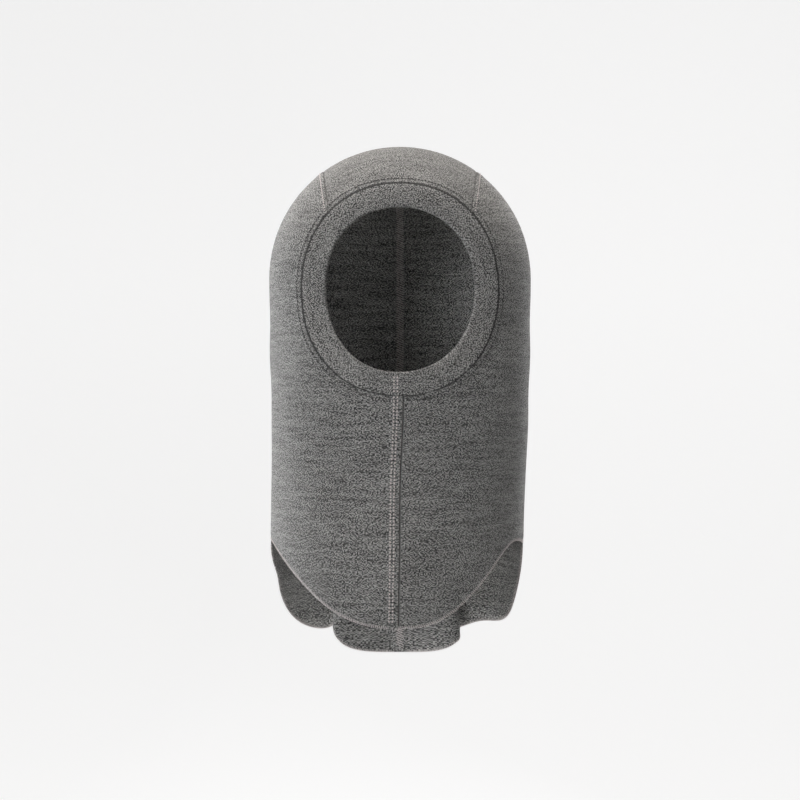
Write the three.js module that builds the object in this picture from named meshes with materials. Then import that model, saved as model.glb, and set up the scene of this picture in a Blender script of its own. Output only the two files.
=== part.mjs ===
// Knitted balaclava: two side panels and a crown panel sewn into a hood with a
// doubled band round the face opening, and a bib in front and behind.
// Millimetres, +Z up, the face looks towards -Y and the wearer's left is +X.
// The origin is where the top of the head meets the inside of the crown.

import * as THREE from 'three';

const { lerp, radToDeg, smoothstep } = THREE.MathUtils;

// Hood form, measured on the outside of the cloth
const HOOD_WIDTH = 189;
const BROW_REACH = 74;
const NAPE_REACH = 80;
const CROWN_RISE = 94.5;
const CLOTH_THICKNESS = 2;
const HEM_TAPER = 3;
const THROAT_DIP = 4;
const THROAT_DROP = 225;
const NECK_DIP = 7;
const NECK_DROP = 212;
const DIP_SPREAD = 48;
const FRONT_FLARE = 6;
const BACK_DRAW_IN = 6;

// Hem line, as drops below the top of the crown
const NOTCH_DROP = 287;
const FRONT_DROP = 342;
const BACK_DROP = 371.5;
const FRONT_HEM_FULLNESS = 2.6;
const FRONT_HEM_EASE = 1.25;
const BACK_HEM_FULLNESS = 2.5;

// Folds that hang in the back bib, one each side of the middle
const FOLD_ANGLE = 38;
const FOLD_SPREAD = 13;
const FOLD_DEPTH = 16;
const FOLD_CURL = 4.5;
const FOLD_START_DROP = 262;

// Face opening and its band
const OPENING_WIDTH = 107;
const OPENING_HEIGHT = 118;
const OPENING_DROP = 105;
const OPENING_ROUNDNESS = 2.15;
const BAND_WIDTH = 16;
const BAND_THICKNESS = 4;
const BAND_PROUD = 0.6;
const BAND_FOLLOW = 0.5;
const BAND_FACE_START = 0.35;
const BAND_FACE_END = 0.85;
const BAND_FOLD_ROUNDING = 0.3;

// Crown panel, measured over the cloth from the top of the crown
const CROWN_HALF_WIDTH = 59;
const CROWN_BACK_RUN = 78;

// Sewing
const SEAM_GAP = 0.4;
const THREAD_CLEARANCE = 0.5;
const THREAD_THICKNESS = 0.9;
const TOPSTITCH_WIDTH = 3.2;
const OVERLOCK_WIDTH = 5;
const TOPSTITCH_OFFSET = 5;
const BAND_STITCH_OFFSET = 3.4;
const SEAM_THREAD_START = 7;
const SEAM_THREAD_END = 1;
const BAND_JOIN_START = 0.4;
const BAND_JOIN_END = 0.8;
const HEM_THREAD_WIDTH = 2.4;
const HEM_THREAD_CLEARANCE = 0.9;
const HEM_THREAD_INSET = 0.25;
const NOTCH_MARGIN = 1;
const KNIT_ROUGHNESS = 0.95;
const THREAD_ROUGHNESS = 0.7;

// Facets of the plain solids
const BAND_STEPS = 48;
const CORNER_STEPS = BAND_STEPS / 8;
const CROWN_SIDE_STEPS = 18;
const CROWN_BACK_STEPS = 6;
const SEAM_ROWS = 12;
const SEAM_STEPS = 28;
const CROWN_THREAD_FIRST = 2.2;
const CROWN_THREAD_GAP = 0.6;
const CROWN_THREAD_LAST = CROWN_SIDE_STEPS + CROWN_BACK_STEPS - CROWN_THREAD_GAP;

const CROWN_TOP = CLOTH_THICKNESS;
const DOME_RUN = CROWN_RISE * Math.PI / 2;
const NORMAL_STEP = 0.05;
const QUARTER_TURN = Math.PI / 2;
const PANEL_COLUMNS = CROWN_SIDE_STEPS + CROWN_BACK_STEPS;

const knitColour = 0x74736f;
const bandColour = 0x7c7b77;
const threadColour = 0x9c9490;

const balaclava = new THREE.Group();

function bell(value, centre, spread) {
  const distance = (value - centre) / spread;
  return Math.exp(-distance * distance);
}

// Reach of the hood from its middle line, at a drop below the top of the crown

function sideReach(drop) {
  return HOOD_WIDTH / 2 - HEM_TAPER * smoothstep(drop, CROWN_RISE, NOTCH_DROP);
}

function frontReach(drop) {
  const flare = FRONT_FLARE * smoothstep(drop, THROAT_DROP, FRONT_DROP);
  return BROW_REACH - THROAT_DIP * bell(drop, THROAT_DROP, DIP_SPREAD) + flare;
}

function backReach(drop) {
  const drawIn = BACK_DRAW_IN * smoothstep(drop, NECK_DROP, BACK_DROP);
  return NAPE_REACH - NECK_DIP * bell(drop, NECK_DROP, DIP_SPREAD) - drawIn;
}

// A run is a length over the cloth, straight down from the top of the crown

function dropAtRun(run) {
  if (run < DOME_RUN) return CROWN_RISE * (1 - Math.cos(run / CROWN_RISE));
  return CROWN_RISE + run - DOME_RUN;
}

function runAtDrop(drop) {
  if (drop < CROWN_RISE) return CROWN_RISE * Math.acos(1 - drop / CROWN_RISE);
  return DOME_RUN + drop - CROWN_RISE;
}

function ringAtRun(run) {
  return run < DOME_RUN ? Math.sin(run / CROWN_RISE) : 1;
}

// The cloth is laid out on a flat map: distance from the map's middle is the run,
// and the direction is the angle round the head, 0 in front and 90 degrees at +X.

function mapPoint(angle, run) {
  return new THREE.Vector2(run * Math.sin(angle), -run * Math.cos(angle));
}

function hoodPoint(map) {
  const run = map.length();
  const angle = Math.atan2(map.x, -map.y);
  const drop = dropAtRun(run);
  const ring = ringAtRun(run);
  const forward = Math.cos(angle);
  const side = ring * sideReach(drop);
  const reach = ring * (forward > 0 ? frontReach(drop) : backReach(drop));
  const point = new THREE.Vector3(side * Math.sin(angle), -reach * forward, CROWN_TOP - drop);
  return point.add(foldShift(angle, drop));
}

// A fold pushes the cloth in towards the neck, and its two sides draw together

function foldShift(angle, drop) {
  const fromBack = Math.PI - Math.abs(angle);
  const away = (radToDeg(fromBack) - FOLD_ANGLE) / FOLD_SPREAD;
  const strength = smoothstep(drop, FOLD_START_DROP, BACK_DROP) * Math.exp(-away * away);
  const inward = new THREE.Vector3(-Math.sign(angle) * Math.sin(fromBack), -Math.cos(fromBack), 0);
  const toMiddle = new THREE.Vector3(-Math.sign(angle) * Math.cos(fromBack), Math.sin(fromBack), 0);
  return inward.multiplyScalar(FOLD_DEPTH * strength)
    .addScaledVector(toMiddle, FOLD_CURL * Math.sqrt(2 * Math.E) * away * strength);
}

function hoodNormal(map) {
  const right = hoodPoint(new THREE.Vector2(map.x + NORMAL_STEP, map.y));
  const left = hoodPoint(new THREE.Vector2(map.x - NORMAL_STEP, map.y));
  const back = hoodPoint(new THREE.Vector2(map.x, map.y + NORMAL_STEP));
  const front = hoodPoint(new THREE.Vector2(map.x, map.y - NORMAL_STEP));
  return right.sub(left).cross(back.sub(front)).normalize();
}

// Hem line round the hood

function hemDrop(angle) {
  const turn = Math.abs(angle);
  if (turn <= QUARTER_TURN) {
    const hang = Math.pow(1 - Math.pow(Math.sin(turn), FRONT_HEM_FULLNESS), FRONT_HEM_EASE);
    return NOTCH_DROP + (FRONT_DROP - NOTCH_DROP) * hang;
  }
  const share = Math.abs(Math.PI - turn) / QUARTER_TURN;
  const hang = 1 - Math.pow(share, BACK_HEM_FULLNESS);
  return NOTCH_DROP + (BACK_DROP - NOTCH_DROP) * hang;
}

// Face opening: turn 0 is over the brow, and a positive turn goes towards +X

function ovalPoint(turn, margin) {
  const power = 2 / OPENING_ROUNDNESS;
  const across = Math.sign(Math.sin(turn)) * Math.pow(Math.abs(Math.sin(turn)), power);
  const up = Math.sign(Math.cos(turn)) * Math.pow(Math.abs(Math.cos(turn)), power);
  const x = (OPENING_WIDTH / 2 + margin) * across;
  const drop = OPENING_DROP - (OPENING_HEIGHT / 2 + margin) * up;
  return { x, drop };
}

function frontMap(x, drop) {
  const run = runAtDrop(drop);
  return mapPoint(Math.asin(x / (ringAtRun(run) * sideReach(drop))), run);
}

function openingMap(turn, margin) {
  const { x, drop } = ovalPoint(turn, margin);
  return frontMap(x, drop);
}

function middleMap(run, sideSign, isBack, gap) {
  const lean = Math.asin(gap / (ringAtRun(run) * sideReach(dropAtRun(run))));
  return mapPoint(sideSign * (isBack ? Math.PI - lean : lean), run);
}

// Patches of cloth

function patchGrid(top, bottom, front, back) {
  const columns = top.length - 1;
  const rows = front.length - 1;
  return front.map((start, row) => top.map((head, column) => {
    const u = column / columns;
    const v = row / rows;
    const corners = top[0].clone().multiplyScalar((1 - u) * (1 - v))
      .addScaledVector(top[columns], u * (1 - v))
      .addScaledVector(bottom[0], (1 - u) * v)
      .addScaledVector(bottom[columns], u * v);
    return head.clone().multiplyScalar(1 - v)
      .addScaledVector(bottom[column], v)
      .addScaledVector(start, 1 - u)
      .addScaledVector(back[row], u)
      .sub(corners);
  }));
}

// A closed solid between an outer and an inner grid of points

function gridSolid(outer, inner) {
  const rows = outer.length;
  const columns = outer[0].length;
  const positions = [];
  for (const point of [...outer.flat(), ...inner.flat()]) positions.push(point.x, point.y, point.z);
  const indices = [];
  const outerAt = (row, column) => row * columns + column;
  const innerAt = (row, column) => rows * columns + row * columns + column;
  const quad = (a, b, c, d) => indices.push(a, b, c, a, c, d);
  for (let row = 0; row < rows - 1; row++) {
    for (let column = 0; column < columns - 1; column++) {
      quad(outerAt(row, column), outerAt(row + 1, column),
        outerAt(row + 1, column + 1), outerAt(row, column + 1));
      quad(innerAt(row, column), innerAt(row, column + 1),
        innerAt(row + 1, column + 1), innerAt(row + 1, column));
    }
    const last = columns - 1;
    quad(outerAt(row, 0), innerAt(row, 0), innerAt(row + 1, 0), outerAt(row + 1, 0));
    quad(outerAt(row, last), outerAt(row + 1, last), innerAt(row + 1, last), innerAt(row, last));
  }
  for (let column = 0; column < columns - 1; column++) {
    const last = rows - 1;
    quad(outerAt(0, column), outerAt(0, column + 1), innerAt(0, column + 1), innerAt(0, column));
    quad(outerAt(last, column), innerAt(last, column),
      innerAt(last, column + 1), outerAt(last, column + 1));
  }
  return solidGeometry(positions, indices);
}

function solidGeometry(positions, indices) {
  const geometry = new THREE.BufferGeometry();
  geometry.setAttribute('position', new THREE.Float32BufferAttribute(positions, 3));
  geometry.setIndex(signedVolume(positions, indices) < 0 ? [...indices].reverse() : indices);
  geometry.computeVertexNormals();
  return geometry;
}

function signedVolume(positions, indices) {
  const corner = (index) => new THREE.Vector3().fromArray(positions, 3 * index);
  let volume = 0;
  for (let i = 0; i < indices.length; i += 3) {
    volume += corner(indices[i]).dot(corner(indices[i + 1]).cross(corner(indices[i + 2])));
  }
  return volume;
}

// A closed solid swept through a list of sections, each a ring of points

function sweptSolid(sections, isLoop) {
  const sides = sections[0].length;
  const positions = sections.flat().flatMap((point) => point.toArray());
  const indices = [];
  const steps = isLoop ? sections.length : sections.length - 1;
  for (let step = 0; step < steps; step++) {
    const next = (step + 1) % sections.length;
    for (let side = 0; side < sides; side++) {
      const beside = (side + 1) % sides;
      const a = step * sides + side;
      const b = next * sides + side;
      const c = next * sides + beside;
      const d = step * sides + beside;
      indices.push(a, b, c, a, c, d);
    }
  }
  if (!isLoop) {
    const end = (sections.length - 1) * sides;
    for (let side = 1; side < sides - 1; side++) {
      indices.push(0, side, side + 1);
      indices.push(end, end + side + 1, end + side);
    }
  }
  return solidGeometry(positions, indices);
}

function clothSolid(grid) {
  const outer = grid.map((row) => row.map(hoodPoint));
  const inner = grid.map((row, i) => row.map((map, j) => (
    outer[i][j].clone().addScaledVector(hoodNormal(map), -CLOTH_THICKNESS)
  )));
  return gridSolid(outer, inner);
}

function addPiece(name, geometry, colour, roughness) {
  const material = new THREE.MeshStandardMaterial({ color: colour, roughness, metalness: 0 });
  const mesh = new THREE.Mesh(geometry, material);
  mesh.name = name;
  balaclava.add(mesh);
}

// Crown panel outline: two sides that run back from the band and a round back

const crownFront = openingMap(QUARTER_TURN / 2, BAND_WIDTH);

function crownEdgeMap(index, margin) {
  const backShare = (index - CROWN_SIDE_STEPS) / CROWN_BACK_STEPS;
  const sweep = crownSweep(index, backShare);
  if (sweep < 0) {
    const share = -sweep;
    const x = CROWN_HALF_WIDTH + (crownFront.x - CROWN_HALF_WIDTH) * share * share;
    return new THREE.Vector2(x + margin, crownFront.y * share);
  }
  const angle = sweep * QUARTER_TURN;
  return new THREE.Vector2((CROWN_HALF_WIDTH + margin) * Math.cos(angle),
    (CROWN_BACK_RUN + margin) * Math.sin(angle));
}

// -1 at the band, 0 level with the ears and 1 at the middle of the back

function crownSweep(index, backShare) {
  const cornerSweep = 0.5;
  if (backShare > 0) return cornerSweep + (1 - cornerSweep) * backShare;
  return -1 + (1 + cornerSweep) * index / CROWN_SIDE_STEPS;
}

function mirrored(map) {
  return new THREE.Vector2(-map.x, map.y);
}

function countTo(last) {
  return Array.from({ length: last + 1 }, (_, index) => index);
}

function crownPanel() {
  const right = countTo(CROWN_SIDE_STEPS).map((index) => crownEdgeMap(index, 0));
  const left = right.map(mirrored);
  const front = countTo(2 * CORNER_STEPS).map((index) => {
    const turn = (index / CORNER_STEPS - 1) * QUARTER_TURN / 2;
    return openingMap(turn, BAND_WIDTH);
  });
  const back = countTo(2 * CROWN_BACK_STEPS).map((index) => {
    const fromMiddle = CROWN_BACK_STEPS - Math.abs(index - CROWN_BACK_STEPS);
    const map = crownEdgeMap(CROWN_SIDE_STEPS + fromMiddle, 0);
    return index < CROWN_BACK_STEPS ? mirrored(map) : map;
  });
  return clothSolid(patchGrid(front, back, left, right));
}

// Side panel outline, as angle and run, so that its rows go round the head. The columns of
// both panels go the same way round as the hem threads, so their facets lie side by side.

const chinRun = openingMap(Math.PI, BAND_WIDTH).length();

function toAngleRun(map) {
  return new THREE.Vector2(Math.atan2(map.x, -map.y), map.length());
}

function sidePanel(sideSign) {
  const columns = PANEL_COLUMNS;
  const bandRows = BAND_STEPS / 2 - CORNER_STEPS;
  const gap = SEAM_GAP / 2;
  const tipRun = CROWN_BACK_RUN + SEAM_GAP;
  const backHemRun = runAtDrop(hemDrop(Math.PI));
  const lastRow = bandRows + SEAM_ROWS;
  const top = countTo(columns).map((index) => {
    if (index === columns) return toAngleRun(middleMap(tipRun, 1, true, gap));
    return toAngleRun(crownEdgeMap(index, SEAM_GAP));
  });
  const frontHemRun = runAtDrop(hemDrop(0));
  const front = countTo(lastRow).map((row) => {
    if (row < bandRows) {
      const turn = (1 + 3 * row / bandRows) * QUARTER_TURN / 2;
      return toAngleRun(openingMap(turn, BAND_WIDTH));
    }
    const share = (row - bandRows) / SEAM_ROWS;
    const run = chinRun + (frontHemRun - chinRun) * share;
    return toAngleRun(middleMap(run, 1, false, gap));
  });
  front[0] = top[0];
  const back = countTo(lastRow).map((row) => {
    const run = tipRun + (backHemRun - tipRun) * row / lastRow;
    return toAngleRun(middleMap(run, 1, true, gap));
  });
  const bottom = countTo(columns).map((index) => {
    const start = front[lastRow].x;
    const end = back[lastRow].x;
    const angle = start + (end - start) * index / columns;
    return new THREE.Vector2(angle, runAtDrop(hemDrop(angle)));
  });
  const grid = patchGrid(top, bottom, front, back);
  const maps = grid.map((row) => row.map((place) => mapPoint(sideSign * place.x, place.y)));
  if (sideSign < 0) maps.forEach((row) => row.reverse());
  return clothSolid(maps);
}

// Face band: cloth folded double, sewn to the panels along its outer edge

function bandFrame(turn) {
  const seamMap = openingMap(turn, BAND_WIDTH - SEAM_GAP);
  const seam = hoodPoint(seamMap);
  const normal = hoodNormal(seamMap);
  const foldPlace = ovalPoint(turn, 0);
  const onHood = hoodPoint(openingMap(turn, 0));
  const y = lerp(seam.y, onHood.y, BAND_FOLLOW);
  const fold = new THREE.Vector3(foldPlace.x, y, CROWN_TOP - foldPlace.drop);
  const inward = fold.clone().sub(seam);
  const lean = normal.dot(inward) / inward.lengthSq();
  const face = normal.clone().addScaledVector(inward, -lean).normalize();
  return { seam, normal, inward, face };
}

function onBand(frame, share, height) {
  return frame.seam.clone().addScaledVector(frame.inward, share)
    .addScaledVector(frame.face, height);
}

function bandSection(turn) {
  const frame = bandFrame(turn);
  const back = BAND_PROUD - BAND_THICKNESS;
  return [
    frame.seam,
    onBand(frame, BAND_FACE_START, BAND_PROUD),
    onBand(frame, BAND_FACE_END, BAND_PROUD),
    onBand(frame, 1, lerp(BAND_PROUD, back, BAND_FOLD_ROUNDING)),
    onBand(frame, 1, lerp(back, BAND_PROUD, BAND_FOLD_ROUNDING)),
    onBand(frame, BAND_FACE_END, back),
    onBand(frame, BAND_FACE_START, back),
    frame.seam.clone().addScaledVector(frame.normal, -CLOTH_THICKNESS),
  ];
}

function faceBand() {
  const turns = countTo(BAND_STEPS - 1).map((step) => step * 2 * Math.PI / BAND_STEPS);
  return sweptSolid(turns.map(bandSection), true);
}

// The band's two ends are joined under the chin

function bandJoinThread() {
  const frame = bandFrame(Math.PI);
  const side = new THREE.Vector3(TOPSTITCH_WIDTH / 2, 0, 0);
  const low = BAND_PROUD + THREAD_CLEARANCE;
  const high = low + THREAD_THICKNESS;
  const sections = [BAND_JOIN_START, BAND_JOIN_END].map((share) => [
    onBand(frame, share, low).add(side),
    onBand(frame, share, low).sub(side),
    onBand(frame, share, high).sub(side),
    onBand(frame, share, high).add(side),
  ]);
  return sweptSolid(sections, false);
}

// Threads: flat ribbons that lie over a seam, on the outside or the inside

function threadSection(map, nextMap, width, isInside) {
  const point = hoodPoint(map);
  const normal = hoodNormal(map);
  const along = hoodPoint(nextMap).sub(point);
  const across = along.cross(normal).normalize().multiplyScalar(width / 2);
  const near = isInside ? -CLOTH_THICKNESS - THREAD_CLEARANCE : THREAD_CLEARANCE;
  const far = near + (isInside ? -THREAD_THICKNESS : THREAD_THICKNESS);
  return [
    point.clone().add(across).addScaledVector(normal, near),
    point.clone().sub(across).addScaledVector(normal, near),
    point.clone().sub(across).addScaledVector(normal, far),
    point.clone().add(across).addScaledVector(normal, far),
  ];
}

function threadAlong(pathAt, steps, width, isInside, isLoop) {
  const smallStep = 0.001;
  const sections = countTo(isLoop ? steps - 1 : steps).map((step) => {
    const share = step / steps;
    return threadSection(pathAt(share), pathAt(share + smallStep), width, isInside);
  });
  return sweptSolid(sections, isLoop);
}

function middleSeamPath(startRun, endRun, isBack, offset) {
  return (share) => middleMap(startRun + (endRun - startRun) * share, 1, isBack, offset);
}

function crownSeamPath(sideSign, offset) {
  return (share) => {
    const map = crownEdgeMap(lerp(CROWN_THREAD_FIRST, CROWN_THREAD_LAST, share), offset);
    return new THREE.Vector2(sideSign * map.x, map.y);
  };
}

function bandSeamPath(share) {
  return openingMap(2 * Math.PI * share, BAND_WIDTH + BAND_STITCH_OFFSET);
}

// Hem threads hang just below the edge of the cloth, between the side notches

function hemThread(middleAngle) {
  const sections = countTo(PANEL_COLUMNS).map((index) => {
    const angle = middleAngle + (2 * index / PANEL_COLUMNS - 1) * QUARTER_TURN;
    const edge = mapPoint(angle, runAtDrop(hemDrop(angle)));
    const inward = hoodNormal(edge).multiplyScalar(-CLOTH_THICKNESS);
    return [[HEM_THREAD_INSET, 0], [1 - HEM_THREAD_INSET, 0],
      [1 - HEM_THREAD_INSET, HEM_THREAD_WIDTH], [HEM_THREAD_INSET, HEM_THREAD_WIDTH]]
      .map(([depth, below]) => {
        const drop = hemDrop(angle) + HEM_THREAD_CLEARANCE + below;
        return hoodPoint(mapPoint(angle, runAtDrop(drop))).addScaledVector(inward, depth);
      });
  });
  pullBack(sections[0], sections[1]);
  pullBack(sections[PANEL_COLUMNS], sections[PANEL_COLUMNS - 1]);
  return sweptSolid(sections, false);
}

function pullBack(endSection, nextSection) {
  const step = endSection[0].distanceTo(nextSection[0]);
  endSection.forEach((point, corner) => point.lerp(nextSection[corner], NOTCH_MARGIN / step));
}

const frontSeamRuns = [chinRun + SEAM_THREAD_START, runAtDrop(FRONT_DROP) - SEAM_THREAD_END];
const backSeamRuns = [CROWN_BACK_RUN + SEAM_THREAD_START, runAtDrop(BACK_DROP) - SEAM_THREAD_END];

for (const [side, sideSign] of [['left', 1], ['right', -1]]) {
  addPiece(`${side}_side_panel`, sidePanel(sideSign), knitColour, KNIT_ROUGHNESS);
  addPiece(`${side}_crown_topstitch`,
    threadAlong(crownSeamPath(sideSign, BAND_STITCH_OFFSET), SEAM_STEPS, TOPSTITCH_WIDTH, false, false),
    threadColour, THREAD_ROUGHNESS);
  addPiece(`${side}_crown_overlock`,
    threadAlong(crownSeamPath(sideSign, 0), SEAM_STEPS, OVERLOCK_WIDTH, true, false),
    threadColour, THREAD_ROUGHNESS);
}
addPiece('crown_panel', crownPanel(), knitColour, KNIT_ROUGHNESS);
addPiece('face_band', faceBand(), bandColour, KNIT_ROUGHNESS);
addPiece('face_band_join_thread', bandJoinThread(), threadColour, THREAD_ROUGHNESS);
addPiece('face_band_topstitch',
  threadAlong(bandSeamPath, BAND_STEPS, TOPSTITCH_WIDTH, false, true), threadColour, THREAD_ROUGHNESS);
addPiece('face_band_overlock',
  threadAlong(bandSeamPath, BAND_STEPS, OVERLOCK_WIDTH, true, true), threadColour, THREAD_ROUGHNESS);

for (const [seam, runs, isBack] of [['front', frontSeamRuns, false], ['back', backSeamRuns, true]]) {
  addPiece(`${seam}_seam_topstitch`,
    threadAlong(middleSeamPath(...runs, isBack, -TOPSTITCH_OFFSET), SEAM_STEPS,
      TOPSTITCH_WIDTH, false, false), threadColour, THREAD_ROUGHNESS);
  addPiece(`${seam}_seam_overlock`,
    threadAlong(middleSeamPath(...runs, isBack, 0), SEAM_STEPS, OVERLOCK_WIDTH, true, false),
    threadColour, THREAD_ROUGHNESS);
}
addPiece('front_hem_overlock', hemThread(0), threadColour, THREAD_ROUGHNESS);
addPiece('back_hem_overlock', hemThread(Math.PI), threadColour, THREAD_ROUGHNESS);

export default balaclava;
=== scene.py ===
"""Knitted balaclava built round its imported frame.

The cloth is laid out on a flat map: the distance from the map's middle is the run over the
cloth from the top of the crown, and the direction is the angle round the head, with 0 in
front and a quarter turn at +X. Every panel, ridge and row of stitches is placed on that map.
"""

import math

import bmesh
import bpy
import numpy as np
from bpy.props import FloatProperty, FloatVectorProperty, PointerProperty
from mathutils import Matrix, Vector
from mathutils.bvhtree import BVHTree
from mathutils.kdtree import KDTree


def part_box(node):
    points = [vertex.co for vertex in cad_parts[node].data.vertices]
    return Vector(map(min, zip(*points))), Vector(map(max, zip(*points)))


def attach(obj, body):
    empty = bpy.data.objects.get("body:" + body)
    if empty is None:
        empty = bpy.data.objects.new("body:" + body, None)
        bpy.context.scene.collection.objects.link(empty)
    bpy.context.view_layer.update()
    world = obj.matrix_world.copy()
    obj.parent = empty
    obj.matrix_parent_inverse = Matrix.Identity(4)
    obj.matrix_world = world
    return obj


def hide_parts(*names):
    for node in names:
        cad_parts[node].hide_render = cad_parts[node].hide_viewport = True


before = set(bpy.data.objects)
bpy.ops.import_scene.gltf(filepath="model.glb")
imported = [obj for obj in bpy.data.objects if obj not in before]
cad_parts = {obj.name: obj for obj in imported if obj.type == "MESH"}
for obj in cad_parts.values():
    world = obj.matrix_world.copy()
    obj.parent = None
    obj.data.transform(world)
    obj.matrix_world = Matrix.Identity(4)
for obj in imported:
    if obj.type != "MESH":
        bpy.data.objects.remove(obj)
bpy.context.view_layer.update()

bl_info = {
    "name": "Knitted Balaclava",
    "version": (1, 0, 0),
    "blender": (4, 5, 0),
    "location": "View3D > Sidebar > Balaclava",
    "description": "Panels, face band and stitching of a knitted balaclava",
    "category": "Add Mesh",
}

BODY = "root"
MM = 0.001

# Hood form on the outside of the cloth, in metres; each place, arc and spread round it is an angle
PANEL_LOW, PANEL_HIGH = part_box("left_side_panel")
HALF_WIDTH = PANEL_HIGH.x
CROWN_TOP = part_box("crown_panel")[1].z
BACK_DROP = CROWN_TOP - PANEL_LOW.z
BROW_REACH = 0.074
NAPE_REACH = 0.080
CROWN_RISE = 0.0945
HEM_TAPER = 0.003
THROAT_DIP = 0.004
THROAT_DROP = 0.225
NECK_DIP = 0.007
NECK_DROP = 0.212
DIP_SPREAD = 0.048
BIB_FLARE = 0.006
NOTCH_DROP = 0.287
FRONT_DROP = 0.342
FRONT_HEM_FULLNESS = 2.6
FRONT_HEM_EASE = 1.25
BACK_HEM_FULLNESS = 2.5
LEFT_NOTCH_LIFT = 0.004
LEFT_NOTCH_PULL = 0.25
LEFT_NOTCH_PLACE = 1.2
NOTCH_ARC = 0.3
FOLD_START_DROP = 0.262
FOLD_SPREAD = math.radians(10)
LEFT_FOLD_PLACE = math.radians(27.5)
RIGHT_FOLD_PLACE = math.radians(30.5)
FOLD_HEM_LIFT = 0.0115
FOLD_HEM_SPREAD = math.radians(12)
LEFT_LOBE_LIFT = 0.0075
RIGHT_LOBE_LIFT = 0.0095
LOBE_SPREAD = math.radians(8.5)
LEFT_LOBE_PLACE = math.radians(46)
RIGHT_LOBE_PLACE = math.radians(32)
RIGHT_NOTCH_LIFT = 0.0036
RIGHT_NOTCH_PLACE = 1.5
LEFT_FRONT_LIFT = 0.0045
LEFT_FRONT_PLACE = 0.56
LEFT_FRONT_ARC = 0.26
LEFT_CORNER_DROOP = 0.0045
LEFT_CORNER_PLACE = math.radians(65)

# Face opening, band and crown panel
OPENING_WIDTH = 0.107
OPENING_HEIGHT = 0.118
OPENING_DROP = 0.105
OPENING_ROUNDNESS = 2.15
BAND_WIDTH = 0.016
BAND_THICKNESS = 0.004
BAND_FOLLOW = 0.5
CROWN_HALF_WIDTH = 0.059
CROWN_BACK_RUN = 0.078
CROWN_CORNER = math.radians(45)

QUARTER_TURN = math.pi / 2
DOME_RUN = CROWN_RISE * QUARTER_TURN

# Soft waves of the hanging cloth: the drops where they lie, and how far they push
DRAPE_DROPS = (0.19, 0.30)
CHIN_DRAG_DROP = 0.215
CHIN_DRAG_SPREAD = 0.030
CHIN_DRAG_PLACE = 0.55
CHIN_DRAG_ARC = 0.35
CHIN_DRAG_SLANT = 0.024
CHIN_DRAG_PITCH = 0.019
CHIN_DRAG_PUSH = 0.0007
BROAD_WAVE_PUSH = 0.0008
FINE_WAVE_PUSH = 0.0005
CHEEK_DROP = 0.15
CHEEK_SPREAD = 0.05
CHEEK_PITCH = 0.055
CHEEK_PUSH = 0.0004
HEM_LEAN = 0.0024
SEAM_LEAN_TOP = 0.0026
SEAM_LEAN_BOTTOM = 0.0008
SEAM_LEAN_ARC = 0.13
SEAM_LEAN_START = (0.14, 0.17)
SEAM_LEAN_END = (0.175, 0.262)
SEAM_RETURN_DROP = 0.28
RIPPLE_OUT = 0.0014
RIPPLE_OUT_DROP = 0.293
RIPPLE_IN = 0.0018
RIPPLE_IN_DROP = 0.311
RIPPLE_SPREAD = 0.010
RIPPLE_PLACE = -2.0
RIPPLE_ARC = 0.40

# Step between the two looks that give a normal, and the least length that is divided by
NORMAL_STEP = 0.0004
TINY = 1e-6


class BalaclavaShape(bpy.types.PropertyGroup):
    """Sizes of the cloth and the sewing"""

    cloth_thickness: FloatProperty(
        name="Cloth thickness", description="Thickness of one layer of the knit",
        default=0.0018, min=0.0008, max=0.004, subtype="DISTANCE", unit="LENGTH", precision=4)
    ridge_height: FloatProperty(
        name="Ridge height", description="How far a folded seam allowance lifts the cloth",
        default=0.0010, min=0.0, max=0.003, subtype="DISTANCE", unit="LENGTH", precision=4)
    seam_ridge_width: FloatProperty(
        name="Seam ridge width", description="Width of the raised seam in front and behind",
        default=0.0080, min=0.004, max=0.014, subtype="DISTANCE", unit="LENGTH", precision=4)
    fold_depth: FloatProperty(
        name="Fold depth", description="How far the back bib's folds reach forwards and back",
        default=0.018, min=0.0, max=0.022, subtype="DISTANCE", unit="LENGTH", precision=4)
    fold_lap: FloatProperty(
        name="Fold lap", description="How far the back bib's folds lap over sideways",
        default=0.0125, min=0.0, max=0.016, subtype="DISTANCE", unit="LENGTH", precision=4)
    stitch_pitch: FloatProperty(
        name="Stitch pitch", description="Length of one stitch along a seam",
        default=0.0024, min=0.0015, max=0.005, subtype="DISTANCE", unit="LENGTH", precision=4)
    hem_pitch: FloatProperty(
        name="Hem stitch pitch", description="Distance between the threads that bind the hem",
        default=0.0015, min=0.001, max=0.004, subtype="DISTANCE", unit="LENGTH", precision=4)
    wale_width: FloatProperty(
        name="Wale width", description="Width of one column of knitted loops",
        default=0.00080, min=0.0006, max=0.004, subtype="DISTANCE", unit="LENGTH", precision=4)


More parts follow.
